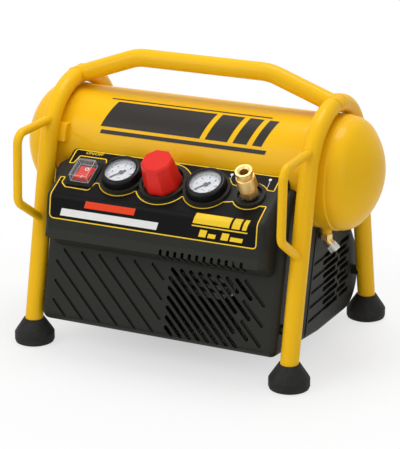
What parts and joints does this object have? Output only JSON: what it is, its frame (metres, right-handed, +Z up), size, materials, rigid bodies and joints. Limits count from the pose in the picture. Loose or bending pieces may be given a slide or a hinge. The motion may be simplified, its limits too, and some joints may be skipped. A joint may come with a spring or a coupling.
{
  "type": "portable air compressor",
  "caption": "Portable oil-free air compressor: small horizontal tank in a bent-tube carrying frame over a moulded housing with gauges, regulator knob, switch and quick coupler.",
  "frame": {"origin": "middle of the footprint, on the surface that the feet stand on", "axes": "+X along the air tank towards the drain valve end, -Y towards the controls, +Z up"},
  "size_m": [0.4598, 0.311, 0.3505],
  "materials": {
    "yellow_paint": "satin",
    "foot_rubber": "matte",
    "charcoal_plastic": "matte",
    "black_plastic": "gloss",
    "red_plastic": "gloss",
    "clear_plastic": "gloss",
    "lens": "gloss",
    "dial_white": "matte",
    "brass": "satin",
    "bright_steel": "polished",
    "plated_steel": "satin",
    "cast_aluminium": "satin",
    "lamination": "satin",
    "copper": "satin",
    "rubber": "matte"
  },
  "bodies": {
    "frame": {"base_plate": "plated_steel", "bearings": "plated_steel", "capacitor": "cast_aluminium", "carry_handle": "yellow_paint", "check_valve": "brass", "cord_grommet": "rubber", "coupler_body": "brass", "cover_screws": "plated_steel", "crankcase": "cast_aluminium", "crankcase_cover": "cast_aluminium", "cylinder": "cast_aluminium", "cylinder_head": "cast_aluminium", "delivery_tube": "copper", "drain_valve_body": "brass", "frame_nuts": "plated_steel", "front_cover": "charcoal_plastic", "intake_filter": "black_plastic", "left_frame": "yellow_paint", "left_front_foot": "foot_rubber", "left_guard_loop": "yellow_paint", "left_rear_foot": "foot_rubber", "left_tank_head": "yellow_paint", "manifold": "cast_aluminium", "motor_end_bracket": "cast_aluminium", "outlet_gauge_case": "black_plastic", "outlet_gauge_dial": "dial_white", "outlet_gauge_lens": "lens", "pressure_switch": "black_plastic", "rear_cover": "charcoal_plastic", "regulator_body": "black_plastic", "regulator_nut": "black_plastic", "right_frame": "yellow_paint", "right_front_foot": "foot_rubber", "right_guard_loop": "yellow_paint", "right_rear_foot": "foot_rubber", "right_tank_head": "yellow_paint", "rubber_mounts": "rubber", "safety_valve_body": "brass", "stator": "lamination", "switch_body": "black_plastic", "switch_splash_cover": "clear_plastic", "tank_bosses": "yellow_paint", "tank_gauge_case": "black_plastic", "tank_gauge_dial": "dial_white", "tank_gauge_lens": "lens", "tank_shell": "yellow_paint", "unloader_tube": "copper", "valve_plate": "plated_steel", "windings": "copper"},
    "rocker": {"switch_rocker": "red_plastic"},
    "regulator": {"regulator_knob": "red_plastic"},
    "tank_needle": {"tank_gauge_needle": "black_plastic"},
    "outlet_needle": {"outlet_gauge_needle": "black_plastic"},
    "sleeve": {"coupler_sleeve": "brass"},
    "drain": {"drain_valve_knob": "bright_steel"},
    "safety": {"safety_valve_ring": "bright_steel"},
    "crank": {"motor_rotor": "lamination", "crank_disc": "plated_steel", "cooling_fan": "black_plastic"},
    "piston": {"piston_rod": "cast_aluminium"}
  },
  "joints": [
    {"name": "switch_rocker_hinge", "type": "hinge", "parent": "frame", "child": "rocker", "pos_m": [-0.107, -0.09734, 0.21356], "axis": [1, 0, 0], "range_deg": [0, 18]},
    {"name": "regulator_knob_hinge", "type": "hinge", "parent": "frame", "child": "regulator", "pos_m": [-0.003, -0.10543, 0.23537], "axis": [0, -0.4848, 0.8746], "range_deg": [-900, 900]},
    {"name": "tank_gauge_needle_hinge", "type": "hinge", "parent": "frame", "child": "tank_needle", "pos_m": [-0.057, -0.10058, 0.22662], "axis": [0, -0.4848, 0.8746], "range_deg": [-270, 0]},
    {"name": "outlet_gauge_needle_hinge", "type": "hinge", "parent": "frame", "child": "outlet_needle", "pos_m": [0.0536, -0.10058, 0.22662], "axis": [0, -0.4848, 0.8746], "range_deg": [-270, 0]},
    {"name": "coupler_sleeve_slide", "type": "slide", "parent": "frame", "child": "sleeve", "axis": [0, 0.4848, -0.8746], "range_m": [0, 0.0035], "stiffness_N_per_m": 2000, "springref_m": -0.003},
    {"name": "drain_knob_hinge", "type": "hinge", "parent": "frame", "child": "drain", "pos_m": [0.16887, 0.00541, 0.13713], "axis": [0.7071, 0, -0.7071], "range_deg": [-720, 0]},
    {"name": "safety_ring_slide", "type": "slide", "parent": "frame", "child": "safety", "axis": [0, 0.9781, 0.2079], "range_m": [0, 0.003], "stiffness_N_per_m": 2000, "springref_m": -0.003},
    {"name": "crankshaft_hinge", "type": "hinge", "parent": "frame", "child": "crank", "pos_m": [0, 0.03541, 0.1], "axis": [1, 0, 0], "continuous": true},
    {"name": "piston_slide", "type": "slide", "parent": "frame", "child": "piston", "axis": [0, 1, 0], "range_m": [0, 0.018]}
  ]
}
